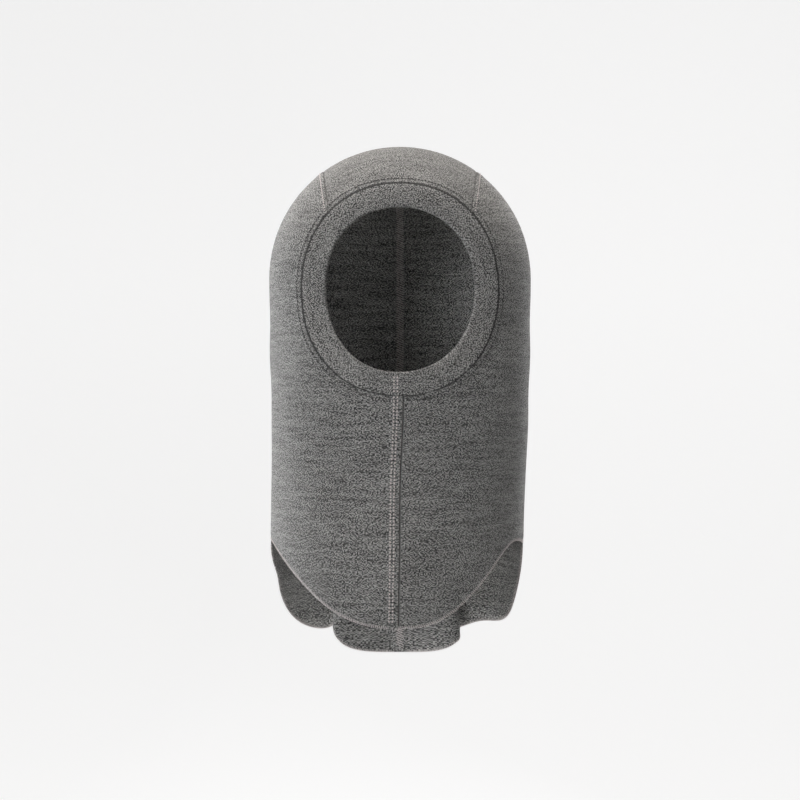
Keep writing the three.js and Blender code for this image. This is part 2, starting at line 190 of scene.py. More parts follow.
class BalaclavaColours(bpy.types.PropertyGroup):
    """Colours of the yarns and threads"""

    light_yarn: FloatVectorProperty(
        name="Light yarn", description="Lightest fibres in the melange", subtype="COLOR",
        default=(0.56, 0.555, 0.54), min=0.0, max=1.0)
    middle_yarn: FloatVectorProperty(
        name="Middle yarn", description="Main colour of the melange", subtype="COLOR",
        default=(0.185, 0.183, 0.179), min=0.0, max=1.0)
    dark_yarn: FloatVectorProperty(
        name="Dark yarn", description="Darkest fibres in the melange", subtype="COLOR",
        default=(0.020, 0.020, 0.020), min=0.0, max=1.0)
    seam_thread: FloatVectorProperty(
        name="Seam thread", description="Thread of the seams and hems", subtype="COLOR",
        default=(0.84, 0.75, 0.74), min=0.0, max=1.0)
    # Dark as painted shade of the needle holes round the band, over the thread's own colour
    band_thread_painted_shade: FloatVectorProperty(
        name="Band thread", description="Thread beside the face band", subtype="COLOR",
        default=(0.06, 0.058, 0.056), min=0.0, max=1.0)
    floor: FloatVectorProperty(
        name="Floor", description="Colour of the floor and backdrop", subtype="COLOR",
        default=(0.30, 0.30, 0.30), min=0.0, max=1.0)


# ---------------------------------------------------------------- form of the hood


def smooth_between(value, start, end):
    """0 before start, 1 after end, and a smooth rise between them."""
    share = np.clip((value - start) / (end - start), 0, 1)
    return share * share * (3 - 2 * share)


def bell(value, centre, spread):
    return np.exp(-((value - centre) / spread) ** 2)


def drop_at_run(run):
    dome = CROWN_RISE * (1 - np.cos(np.minimum(run, DOME_RUN) / CROWN_RISE))
    return dome + np.maximum(run - DOME_RUN, 0)


def run_at_drop(drop):
    dome = CROWN_RISE * np.arccos(np.clip(1 - np.minimum(drop, CROWN_RISE) / CROWN_RISE, -1, 1))
    return dome + np.maximum(drop - CROWN_RISE, 0)


def ring_at_run(run):
    return np.sin(np.minimum(run, DOME_RUN) / CROWN_RISE)


def side_reach(drop):
    return HALF_WIDTH - HEM_TAPER * smooth_between(drop, CROWN_RISE, NOTCH_DROP)


def front_reach(drop):
    flare = BIB_FLARE * smooth_between(drop, THROAT_DROP, FRONT_DROP)
    return BROW_REACH - THROAT_DIP * bell(drop, THROAT_DROP, DIP_SPREAD) + flare


def back_reach(drop):
    flare = BIB_FLARE * smooth_between(drop, NECK_DROP, BACK_DROP)
    return NAPE_REACH - NECK_DIP * bell(drop, NECK_DROP, DIP_SPREAD) - flare


def to_map(angle, run):
    return np.stack([run * np.sin(angle), -run * np.cos(angle)], axis=-1)


def to_angle_run(places):
    return np.stack([np.arctan2(places[..., 0], -places[..., 1]),
                     np.hypot(places[..., 0], places[..., 1])], axis=-1)


def drape(angle, drop):
    """Soft folds that the hanging cloth shows, as a push outwards from the middle."""
    low = smooth_between(drop, *DRAPE_DROPS)
    chin = bell(drop, CHIN_DRAG_DROP, CHIN_DRAG_SPREAD) * bell(np.abs(angle), CHIN_DRAG_PLACE, CHIN_DRAG_ARC)
    slanted = drop + CHIN_DRAG_SLANT * np.abs(angle)
    drag = CHIN_DRAG_PUSH * chin * np.sin(2 * math.pi * slanted / CHIN_DRAG_PITCH)
    waves = BROAD_WAVE_PUSH * np.sin(3 * angle + 0.7 + 5 * drop)
    waves = waves + FINE_WAVE_PUSH * np.sin(5 * angle - 1.1 - 11 * drop)
    cheek = CHEEK_PUSH * bell(drop, CHEEK_DROP, CHEEK_SPREAD)
    cheek = cheek * np.sin(2 * math.pi * drop / CHEEK_PITCH + 2 * angle)
    return drag + low * waves + cheek * np.abs(np.sin(angle)) - HEM_LEAN * low * np.sin(angle)


def seam_lean(drop):
    """How far the front seam stands to the left of the middle."""
    below_band = 1 - smooth_between(drop, *SEAM_LEAN_END)
    near_hem = smooth_between(drop, SEAM_RETURN_DROP, FRONT_DROP)
    lean = SEAM_LEAN_TOP * below_band - SEAM_LEAN_BOTTOM * near_hem
    return lean * smooth_between(drop, *SEAM_LEAN_START)


def side_ripple(drop):
    """How far the loose edge behind the right notch waves outwards."""
    outwards = RIPPLE_OUT * bell(drop, RIPPLE_OUT_DROP, RIPPLE_SPREAD)
    return outwards - RIPPLE_IN * bell(drop, RIPPLE_IN_DROP, RIPPLE_SPREAD)


def fold_shift(shape, angle, drop):
    """The folds of the back bib, which lap its middle over the cloth beside it."""
    from_back = math.pi - np.abs(angle)
    is_left = angle > 0
    away = (from_back - np.where(is_left, LEFT_FOLD_PLACE, RIGHT_FOLD_PLACE)) / FOLD_SPREAD
    swing = smooth_between(drop, FOLD_START_DROP, BACK_DROP) * away * np.exp((1 - away * away) / 2)
    swing = swing * smooth_between(from_back, 0.0, 1.2 * FOLD_SPREAD)
    sideways = -shape.fold_lap * swing * np.where(is_left, 1.0, -1.0)
    return np.stack([sideways, shape.fold_depth * swing], axis=-1)


def hood_points(shape, places):
    """Points on the outside of the cloth for places on the map."""
    polar = to_angle_run(places)
    angle, run = polar[..., 0], polar[..., 1]
    drop = drop_at_run(run)
    ring = ring_at_run(run)
    side = np.maximum(ring * side_reach(drop), TINY)
    reach = np.maximum(ring * np.where(np.cos(angle) > 0, front_reach(drop), back_reach(drop)), TINY)
    plan = np.stack([side * np.sin(angle), -reach * np.cos(angle)], axis=-1)
    distance = np.maximum(np.linalg.norm(plan, axis=-1), TINY)
    plan = plan * (1 + drape(angle, drop) * ring / distance)[..., None]
    plan = plan + fold_shift(shape, angle, drop)
    plan[..., 0] += seam_lean(drop) * bell(angle, 0.0, SEAM_LEAN_ARC)
    plan[..., 0] -= side_ripple(drop) * bell(angle, RIPPLE_PLACE, RIPPLE_ARC)
    return np.concatenate([plan, (CROWN_TOP - drop)[..., None]], axis=-1)


def hood_normals(shape, places):
    across, down = [NORMAL_STEP, 0], [0, NORMAL_STEP]
    right = hood_points(shape, places + across) - hood_points(shape, places - across)
    back = hood_points(shape, places + down) - hood_points(shape, places - down)
    normals = np.cross(right, back)
    return normals / np.linalg.norm(normals, axis=-1, keepdims=True)


def hem_drop(angle):
    """Drop of the hem at an angle round the head; the left notch is drawn forwards."""
    angle = (angle + math.pi) % (2 * math.pi) - math.pi
    turn = np.abs(angle)
    is_left = angle > 0
    pull = 1 + np.where(is_left, LEFT_NOTCH_PULL, 0.0) * smooth_between(turn, NOTCH_ARC, LEFT_NOTCH_PLACE)
    front_turn = np.minimum(turn * pull, QUARTER_TURN)
    front = np.power(1 - np.power(np.sin(front_turn), FRONT_HEM_FULLNESS), FRONT_HEM_EASE)
    lift = np.where(is_left, LEFT_NOTCH_LIFT, 0.0) * bell(turn, LEFT_NOTCH_PLACE, NOTCH_ARC)
    lift = lift + np.where(is_left, 0.0, RIGHT_NOTCH_LIFT) * bell(turn, RIGHT_NOTCH_PLACE, NOTCH_ARC)
    lift = lift + np.where(is_left, LEFT_FRONT_LIFT, 0.0) * bell(turn, LEFT_FRONT_PLACE, LEFT_FRONT_ARC)
    share = np.clip((math.pi - turn) / QUARTER_TURN, 0, 1)
    back = 1 - np.power(share, BACK_HEM_FULLNESS)
    place = np.where(is_left, LEFT_FOLD_PLACE, RIGHT_FOLD_PLACE)
    gathered = FOLD_HEM_LIFT * bell(math.pi - turn, place, FOLD_HEM_SPREAD)
    lobe_place = np.where(is_left, LEFT_LOBE_PLACE, RIGHT_LOBE_PLACE)
    lobe_lift = np.where(is_left, LEFT_LOBE_LIFT, RIGHT_LOBE_LIFT)
    gathered = gathered + lobe_lift * bell(math.pi - turn, lobe_place, LOBE_SPREAD)
    droop = np.where(is_left, LEFT_CORNER_DROOP, 0.0)
    gathered = gathered - droop * bell(math.pi - turn, LEFT_CORNER_PLACE, LOBE_SPREAD)
    return np.where(turn <= QUARTER_TURN, NOTCH_DROP - lift + (FRONT_DROP - NOTCH_DROP) * front,
                    NOTCH_DROP - lift + (BACK_DROP - NOTCH_DROP) * back - gathered)


def oval(turn, margin):
    """x and drop on the face opening's outline; turn 0 is over the brow."""
    power = 2 / OPENING_ROUNDNESS
    across = np.sign(np.sin(turn)) * np.abs(np.sin(turn)) ** power
    up = np.sign(np.cos(turn)) * np.abs(np.cos(turn)) ** power
    return (OPENING_WIDTH / 2 + margin) * across, OPENING_DROP - (OPENING_HEIGHT / 2 + margin) * up


def opening_map(turn, margin):
    x, drop = oval(turn, margin)
    run = run_at_drop(drop)
    return to_map(np.arcsin(x / (ring_at_run(run) * side_reach(drop))), run)


def crown_edge(sweep, margin):
    """Crown panel's left edge: sweep is -1 at the band, 0 level with the ears, 1 at the back."""
    share = np.minimum(sweep, 0)
    corner = opening_map(CROWN_CORNER, BAND_WIDTH)
    turn = np.maximum(sweep, 0) * QUARTER_TURN
    x = CROWN_HALF_WIDTH + (corner[0] - CROWN_HALF_WIDTH) * share * share
    front = np.stack([x + margin, -corner[1] * share], axis=-1)
    back_x = (CROWN_HALF_WIDTH + margin) * np.cos(turn)
    back = np.stack([back_x, (CROWN_BACK_RUN + margin) * np.sin(turn)], axis=-1)
    return np.where((sweep < 0)[..., None], front, back)


def middle_line(run, is_back):
    return to_map(math.pi if is_back else 0.0, run)


CHIN_RUN = float(np.hypot(*opening_map(np.array(math.pi), BAND_WIDTH)))
FRONT_HEM_RUN = float(run_at_drop(np.array(FRONT_DROP)))
BACK_HEM_RUN = float(run_at_drop(np.array(BACK_DROP)))


def graded(count, ends, fine):
    """Shares from 0 to 1, with rows of width fine over the first and last ends of the way."""
    first, last = ends
    start = np.linspace(0, first, max(int(round(first / fine)), 1) + 1)
    finish = np.linspace(1 - last, 1, max(int(round(last / fine)), 1) + 1)
    return np.concatenate([start, np.linspace(first, 1 - last, count + 1)[1:-1], finish])


def coons(top, bottom, front, back, u, v):
    """A patch of map places between four edges, for shares u across and v down."""
    u, v = u[None, :, None], v[:, None, None]
    sides = (1 - u) * front[:, None] + u * back[:, None] + (1 - v) * top[None] + v * bottom[None]
    top_corners = (1 - u) * (1 - v) * top[0] + u * (1 - v) * top[-1]
    return sides - (top_corners + (1 - u) * v * bottom[0] + u * v * bottom[-1])


# Cells of the panels across and down, and where a side panel's corner under the chin lies
SIDE_CELLS = (118, 150)
CROWN_CELLS = (60, 64)
CHIN_CORNER_SHARE = 0.55
CROWN_CORNER_SWEEP = 0.5


def side_patch(side):
    """Map places of a side panel, rows down and columns from the front to the back."""
    u = graded(SIDE_CELLS[0], (0.045, 0.045), 0.0032)
    v = np.unique(np.append(graded(SIDE_CELLS[1], (0.030, 0.014), 0.0026), CHIN_CORNER_SHARE))
    turn = CROWN_CORNER + (math.pi - CROWN_CORNER) * np.minimum(v / CHIN_CORNER_SHARE, 1)
    band_side = to_angle_run(opening_map(turn, BAND_WIDTH))
    chin_share = np.maximum(v - CHIN_CORNER_SHARE, 0) / (1 - CHIN_CORNER_SHARE)
    front_run = CHIN_RUN + (FRONT_HEM_RUN - CHIN_RUN) * chin_share
    seam_side = to_angle_run(middle_line(front_run, False))
    front = np.where((v < CHIN_CORNER_SHARE)[:, None], band_side, seam_side)
    back_run = CROWN_BACK_RUN + (BACK_HEM_RUN - CROWN_BACK_RUN) * v
    back = to_angle_run(middle_line(back_run, True))
    top = to_angle_run(crown_edge(-1 + 2 * u, 0.0))
    top[0], top[-1] = front[0], back[0]
    angles = front[-1, 0] + (back[-1, 0] - front[-1, 0]) * u
    bottom = np.stack([angles, run_at_drop(hem_drop(side * angles))], axis=-1)
    back[-1], front[-1] = bottom[-1], bottom[0]
    polar = coons(top, bottom, front, back, u, v)
    return to_map(side * polar[..., 0], polar[..., 1])


def crown_patch():
    """Map places of the crown panel, rows from the band to the back of the head."""
    u = graded(CROWN_CELLS[0], (0.07, 0.07), 0.006)
    v = graded(CROWN_CELLS[1], (0.07, 0.06), 0.006)
    left = crown_edge(-1 + (1 + CROWN_CORNER_SWEEP) * v, 0.0)
    right = left * [-1, 1]
    front = opening_map((2 * u - 1) * CROWN_CORNER, BAND_WIDTH)
    sweep = 1 - (1 - CROWN_CORNER_SWEEP) * np.abs(2 * u - 1)
    back = crown_edge(sweep, 0.0) * np.stack([np.where(u < 0.5, -1.0, 1.0), np.ones_like(u)], axis=-1)
    return coons(front, back, right, left, u, v)


# ---------------------------------------------------------------- meshes


SMOOTH_ANGLE = math.radians(50)
CURVE_STEPS = 900


def deselect_all():
    if bpy.context.mode != "OBJECT":
        bpy.ops.object.mode_set(mode="OBJECT")
    bpy.ops.object.select_all(action="DESELECT")


def new_piece(name, points, faces, maps=None):
    """A mesh object from points and faces; maps holds a pair of numbers for each point, by UV map."""
    mesh = bpy.data.meshes.new(name)
    mesh.from_pydata([tuple(p) for p in points], [], [tuple(f) for f in faces])
    mesh.update()
    loops = np.empty(len(mesh.loops), dtype=np.int32)
    mesh.loops.foreach_get("vertex_index", loops)
    for map_name, pairs in (maps or {}).items():
        layer = mesh.uv_layers.new(name=map_name)
        layer.data.foreach_set("uv", np.asarray(pairs, dtype=np.float32)[loops].ravel())
    piece = bpy.data.objects.new(name, mesh)
    bpy.context.scene.collection.objects.link(piece)
    deselect_all()
    piece.select_set(True)
    bpy.context.view_layer.objects.active = piece
    bpy.ops.object.shade_smooth_by_angle(angle=SMOOTH_ANGLE)
    piece.select_set(False)
    return piece


def shell_faces(rows, columns):
    """Faces of a closed shell whose outer grid comes first and inner grid second."""
    index = np.arange(rows * columns).reshape(rows, columns)
    a, b, c, d = index[:-1, :-1], index[1:, :-1], index[1:, 1:], index[:-1, 1:]
    outer = np.stack([a, b, c, d], axis=-1).reshape(-1, 4)
    shift = rows * columns
    inner = outer[:, ::-1] + shift
    rim = np.concatenate([index[0, :], index[1:, -1], index[-1, -2::-1], index[-2:0:-1, 0]])
    following = np.roll(rim, -1)
    edge = np.stack([rim, following, following + shift, rim + shift], axis=-1)
    return np.concatenate([outer, inner, edge])


def outward_check(piece):
    """Turns every face outwards where the closed mesh has a negative volume."""
    work = bmesh.new()
    work.from_mesh(piece.data)
    if work.calc_volume(signed=True) < 0:
        bmesh.ops.reverse_faces(work, faces=work.faces)
        work.to_mesh(piece.data)
    work.free()


def nearest(points, curve):
    """Distance of each point to a curve of close points, and how far along it that is."""
    tree = KDTree(len(curve))
    for index, point in enumerate(curve):
        tree.insert(Vector(point), index)
    tree.balance()
    lengths = np.concatenate([[0], np.cumsum(np.linalg.norm(np.diff(curve, axis=0), axis=1))])
    found = [tree.find(Vector(p)) for p in points.reshape(-1, 3)]
    distance = np.array([f[2] for f in found]).reshape(points.shape[:-1])
    along = lengths[np.array([f[1] for f in found])].reshape(points.shape[:-1])
    return distance, along


def seam_curves(shape):
    """Every seam and hem as a curve of close points on the hood."""
    shares = np.linspace(0, 1, CURVE_STEPS)
    ring = np.linspace(0, 2 * math.pi, 2 * CURVE_STEPS)
    hem = np.linspace(-QUARTER_TURN, QUARTER_TURN, CURVE_STEPS)
    left_crown = crown_edge(-1 + 2 * shares, 0.0)
    maps = {
        "band": opening_map(ring, BAND_WIDTH),
        "left_crown": left_crown,
        "right_crown": left_crown * [-1, 1],
        "front": middle_line(CHIN_RUN + (FRONT_HEM_RUN - CHIN_RUN) * shares, False),
        "back": middle_line(CROWN_BACK_RUN + (BACK_HEM_RUN - CROWN_BACK_RUN) * shares, True),
        "front_hem": to_map(hem, run_at_drop(hem_drop(hem))),
        "back_hem": to_map(math.pi + hem, run_at_drop(hem_drop(math.pi + hem))),
    }
    return {name: hood_points(shape, places) for name, places in maps.items()}


# Relief of the seams and the painted shade in their grooves; a share is of the full height, depth or
# painted darkness, and the front and back seams take the middle ones
GROOVE_DEPTH = 0.0013
GROOVE_WIDTH = 0.0009
RIDGE_SHARE = {"band": 0.4, "left_crown": 0.3, "right_crown": 0.3}
GROOVE_SHARE = {"band": 1.0, "left_crown": 0.4, "right_crown": 0.4}
MIDDLE_GROOVE_SHARE = 0.35
PAINTED_SHADE_WIDTH = 0.0011
PAINTED_CREASE_SHADE = {"band": 1.0, "left_crown": 0.34, "right_crown": 0.34}
MIDDLE_PAINTED_CREASE_SHADE = 0.20
CHIN_PAINTED_SHADE_SHARE = 0.45
BAND_PAINTED_SHADE_HEIGHTS = (CROWN_TOP - 0.180, CROWN_TOP - 0.105)
BAND_RIDGE_WIDTH = 0.0052
CROWN_RIDGE_WIDTH = 0.0062
RIDGE_RISE_WIDTH = 0.0007
RIDGE_FALL = (-0.0006, 0.0014)
ALLOWANCE_HALF_WIDTH = 0.0050
ALLOWANCE_RISE = 0.0009
ALLOWANCE_EDGE = 0.0004
PUCKER = 0.00016
PUCKER_SPREAD = 0.0008
HEM_BINDING = 0.0002
HEM_BINDING_EDGE = (0.0026, 0.0040)
HEM_ROUNDING = 0.00045
HEM_ROUNDING_WIDTH = 0.0012


def folded_ridge(distance, width, height, depth):
    """Cloth lifted by its folded allowance, with a rounded drop into the seam."""
    rise = smooth_between(distance, 0.0, RIDGE_RISE_WIDTH)
    fall = 1 - smooth_between(distance, width + RIDGE_FALL[0], width + RIDGE_FALL[1])
    groove = 1 - smooth_between(distance, 0.0, GROOVE_WIDTH)
    return height * rise * fall - depth * groove


def painted_crease_shade(distance, seam):
    """How dark the painted shade is at each point by a seam's groove, from 0 beside it to full in it."""
    return PAINTED_CREASE_SHADE.get(seam, MIDDLE_PAINTED_CREASE_SHADE) * np.clip(1 - distance / PAINTED_SHADE_WIDTH, 0, 1)


def stitch_dimples(distance, along, offset, pitch):
    """Small hollows where a row of stitches pulls the cloth down."""
    wave = 0.5 - 0.5 * np.cos(2 * math.pi * along / pitch)
    return -PUCKER * bell(distance, offset, PUCKER_SPREAD) * (0.6 + 1.4 * wave)


def allowance_lift(distance):
    """Height inside the hood of the folded allowance that lies over a seam."""
    start, end = ALLOWANCE_HALF_WIDTH - ALLOWANCE_EDGE, ALLOWANCE_HALF_WIDTH + ALLOWANCE_EDGE
    return ALLOWANCE_RISE * (1 - smooth_between(distance, start, end))


def band_painted_shade(height):
    """How strong the painted shade round the band is: full at the brow and less under the chin."""
    return CHIN_PAINTED_SHADE_SHARE + (1 - CHIN_PAINTED_SHADE_SHARE) * smooth_between(height, *BAND_PAINTED_SHADE_HEIGHTS)


# Rows of topstitching, as distances from their seam
TOPSTITCH_ROWS = (0.0044, 0.0068)
BAND_STITCH_OFFSET = 0.0034
CROWN_STITCH_OFFSET = 0.0032
RIDGE_WIDTHS = {"band": BAND_RIDGE_WIDTH, "left_crown": CROWN_RIDGE_WIDTH, "right_crown": CROWN_RIDGE_WIDTH}
SEAM_ROWS = {
    "band": (BAND_STITCH_OFFSET,),
    "left_crown": (CROWN_STITCH_OFFSET,),
    "right_crown": (CROWN_STITCH_OFFSET,),
}


def panel_relief(shape, points, curves, ridge_seams, plain_seams):
    """Heights of a panel's outside and inside over its plain form, and the painted shade of its seams'
    grooves.
    """
    outer = np.zeros(points.shape[:-1])
    inner = np.zeros(points.shape[:-1])
    painted_shading = np.zeros(points.shape[:-1])
    for seam in ridge_seams + plain_seams:
        distance, along = nearest(points, curves[seam])
        is_raised = seam in ridge_seams
        height = shape.ridge_height * RIDGE_SHARE.get(seam, 1.0) if is_raised else 0.0
        depth = GROOVE_DEPTH * GROOVE_SHARE.get(seam, MIDDLE_GROOVE_SHARE)
        outer += folded_ridge(distance, RIDGE_WIDTHS.get(seam, shape.seam_ridge_width), height, depth)
        band_shade_strength = band_painted_shade(points[..., 2]) if seam == "band" else 1.0
        painted_shading = np.maximum(painted_shading, band_shade_strength * painted_crease_shade(distance, seam))
        for offset in SEAM_ROWS.get(seam, TOPSTITCH_ROWS) if is_raised else ():
            outer += stitch_dimples(distance, along, offset, shape.stitch_pitch)
        inner += allowance_lift(distance)
    for hem in ("front_hem", "back_hem"):
        distance, _ = nearest(points, curves[hem])
        bound = 1 - smooth_between(distance, *HEM_BINDING_EDGE)
        rounding = 1 - smooth_between(distance, 0.0, HEM_ROUNDING_WIDTH)
        thinning = HEM_BINDING * bound + HEM_ROUNDING * rounding
        outer -= thinning
        inner -= thinning
    return outer, inner, painted_shading


# Painted light on the inside of the cloth, strongest on the loose lobes below the notches
LOBE_START = (0.50, 0.66)
LOBE_END = (1.45, 1.6)
LOBE_DROPS = (0.270, 0.300)
INSIDE_PAINTED_LIGHT = 0.30
LOBE_PAINTED_LIGHT = 0.80


def painted_inside_light(places):
    """Painted light on the inside of the cloth: most on the loose lobes below the notches."""
    polar = to_angle_run(places)
    from_back = math.pi - np.abs(polar[..., 0])
    on_lobe = smooth_between(from_back, *LOBE_START) * (1 - smooth_between(from_back, *LOBE_END))
    below_notch = smooth_between(polar[..., 1], *(run_at_drop(drop) for drop in LOBE_DROPS))
    return INSIDE_PAINTED_LIGHT + LOBE_PAINTED_LIGHT * on_lobe * below_notch


def build_panel(shape, name, places, curves, ridge_seams, plain_seams, uvs):
    """A closed sheet of cloth with its ridges, grooves and allowances."""
    points = hood_points(shape, places)
    normals = hood_normals(shape, places)
    outer_lift, inner_lift, painted_shading = panel_relief(shape, points, curves, ridge_seams, plain_seams)
    outer = points + normals * outer_lift[..., None]
    inner = points - normals * (shape.cloth_thickness + inner_lift)[..., None]
    rows, columns = places.shape[:2]
    all_points = np.concatenate([outer.reshape(-1, 3), inner.reshape(-1, 3)])
    # Painted shade in the seams' grooves outside, and painted light inside
    painted_shade_pairs = painted_shading.reshape(-1, 1) * [1, 0]
    painted_light_pairs = painted_inside_light(places).reshape(-1, 1) * [0, 1]
    maps = {
        "knit_mm": np.concatenate([uvs.reshape(-1, 2), uvs.reshape(-1, 2)]),
        "painted_shading": np.concatenate([painted_shade_pairs, painted_light_pairs]),
    }
    piece = new_piece(name, all_points, shell_faces(rows, columns), maps)
    outward_check(piece)
    return piece


MEAN_RADIUS = 0.083


def side_uvs(places):
    """Knit coordinates of a side panel: round the head and down it, in millimetres."""
    polar = to_angle_run(places)
    ring = ring_at_run(polar[..., 1])
    across = (polar[..., 0] - np.sign(polar[..., 0]) * QUARTER_TURN) * ring * MEAN_RADIUS
    return np.stack([across, polar[..., 1]], axis=-1) / MM


# ---------------------------------------------------------------- materials


class Nodes:
    """Short calls for the node tree of one material."""

    def __init__(self, name):
        self.material = bpy.data.materials.new(name)
        self.material.use_nodes = True
        self.tree = self.material.node_tree
        self.shader = self.tree.nodes["Principled BSDF"]

    def add(self, kind, inputs=None, **settings):
        node = self.tree.nodes.new(kind)
        for key, value in settings.items():
            setattr(node, key, value)
        for key, value in (inputs or {}).items():
            self.put(node.inputs[key], value)
        return node

    def put(self, socket, value):
        if isinstance(value, bpy.types.NodeSocket):
            self.tree.links.new(value, socket)
        else:
            socket.default_value = value

    def math(self, operation, first, second=0.0, third=0.0):
        node = self.add("ShaderNodeMath", {0: first, 1: second, 2: third}, operation=operation)
        return node.outputs[0]

    def mix(self, factor, first, second):
        node = self.add("ShaderNodeMix", data_type="RGBA")
        self.put(node.inputs["Factor"], factor)
        self.put(node.inputs[6], first)
        self.put(node.inputs[7], second)
        return node.outputs[2]

    def noise(self, vector, scale, detail, roughness=0.5):
        node = self.add("ShaderNodeTexNoise", {"Vector": vector, "Scale": scale, "Detail": detail,
                                               "Roughness": roughness})
        return node.outputs["Fac"]

    def finish(self, inputs):
        """Sets or links the shader's own sockets."""
        for key, value in inputs.items():
            self.put(self.shader.inputs[key], value)

    def centred(self, value, weight):
        return self.math("MULTIPLY", self.math("SUBTRACT", value, 0.5), weight)

    def random(self, cell):
        return self.add("ShaderNodeTexWhiteNoise", {"Vector": cell}, noise_dimensions="2D").outputs["Value"]

    def ramp(self, value, low, high):
        node = self.add("ShaderNodeMapRange", {"Value": value, "From Min": low, "From Max": high},
                        interpolation_type="SMOOTHSTEP")
        return node.outputs[0]


def colour4(colour):
    return (colour[0], colour[1], colour[2], 1.0)


# Form of the loops, and how far each loop's tone stands out from those beside it
LOOP_SLANT = 1.7
LOOP_ROUNDNESS = 0.6
LEG_ROUNDNESS = 0.5
COURSE_SHARE = 0.78
WALE_CONTRAST = 0.16
COURSE_CONTRAST = 0.24


def knit_loops(nodes, vector, wale, course):
    """Height of plain knitting and a random tone for every loop, from millimetres of vector."""
    split = nodes.add("ShaderNodeSeparateXYZ", {0: vector})
    column = nodes.math("DIVIDE", split.outputs[0], wale)
    row = nodes.math("DIVIDE", split.outputs[1], course)
    slope = nodes.math("MULTIPLY", nodes.math("PINGPONG", column, 0.5), LOOP_SLANT)
    sloped = nodes.math("ADD", row, slope)
    loops = nodes.math("SINE", nodes.math("MULTIPLY", nodes.math("FRACT", sloped), math.pi))
    legs = nodes.math("FRACT", nodes.math("MULTIPLY", column, 2.0))
    legs = nodes.math("SINE", nodes.math("MULTIPLY", legs, math.pi))
    height = nodes.math("MULTIPLY", nodes.math("POWER", loops, LOOP_ROUNDNESS),
                        nodes.math("POWER", legs, LEG_ROUNDNESS))
    cell = nodes.add("ShaderNodeCombineXYZ", {0: nodes.math("FLOOR", column), 1: nodes.math("FLOOR", sloped)})
    contrast = nodes.random(cell.outputs[0])
    for step, share in (((1, 0, 0), WALE_CONTRAST), ((-1, 0, 0), WALE_CONTRAST),
                        ((0, 1, 0), COURSE_CONTRAST), ((0, -1, 0), COURSE_CONTRAST)):
        beside = nodes.random(nodes.add("ShaderNodeVectorMath", {0: cell.outputs[0], 1: step}).outputs[0])
        contrast = nodes.math("MULTIPLY_ADD", nodes.math("SUBTRACT", beside, 0.5), -share, contrast)
    return height, contrast


# Marks in the melange: size per millimetre across and down, detail, roughness and weight
STREAKS = ((0.030, 0.30, 1.0), 2.0, 0.5, 0.90)
FLECKS = ((0.16, 0.95, 1.0), 3.0, 0.6, 0.42)
FIBRES = ((1.4, 2.2, 1.0), 3.0, 0.7, 0.12)
LOOP_WEIGHT = 1.4
WOBBLE_SCALE = 0.11
WOBBLE_PUSH = 3.0
# Darkness of the painted shade in the seams' grooves
PAINTED_CREASE_DARKNESS = 0.95
# Strength of the painted light on the inside of the cloth
INSIDE_PAINTED_LIGHT_GAIN = 0.70
NAP_TINT = (0.84, 0.84, 0.84, 1.0)
BUMP_HEIGHT = 0.0004


def melange_level(nodes, uv, loop_tone, streak_gain):
    """How far each place is from the middle yarn's colour, and the finest fibres alone."""
    wobble = nodes.math("MULTIPLY", nodes.noise(uv, WOBBLE_SCALE, 2.0), WOBBLE_PUSH)
    shift = nodes.add("ShaderNodeCombineXYZ", {1: wobble}).outputs[0]
    place = nodes.add("ShaderNodeVectorMath", {0: uv, 1: shift}, operation="ADD").outputs[0]
    level = nodes.centred(loop_tone, LOOP_WEIGHT)
    for vector, marks, gain in ((place, STREAKS, streak_gain), (place, FLECKS, 1.0), (uv, FIBRES, 1.0)):
        scale, detail, roughness, weight = marks
        spot = nodes.add("ShaderNodeMapping", {"Vector": vector, "Scale": scale}).outputs[0]
        mark = nodes.noise(spot, 1.0, detail, roughness)
        level = nodes.math("ADD", level, nodes.centred(mark, weight * gain))
    return level, mark


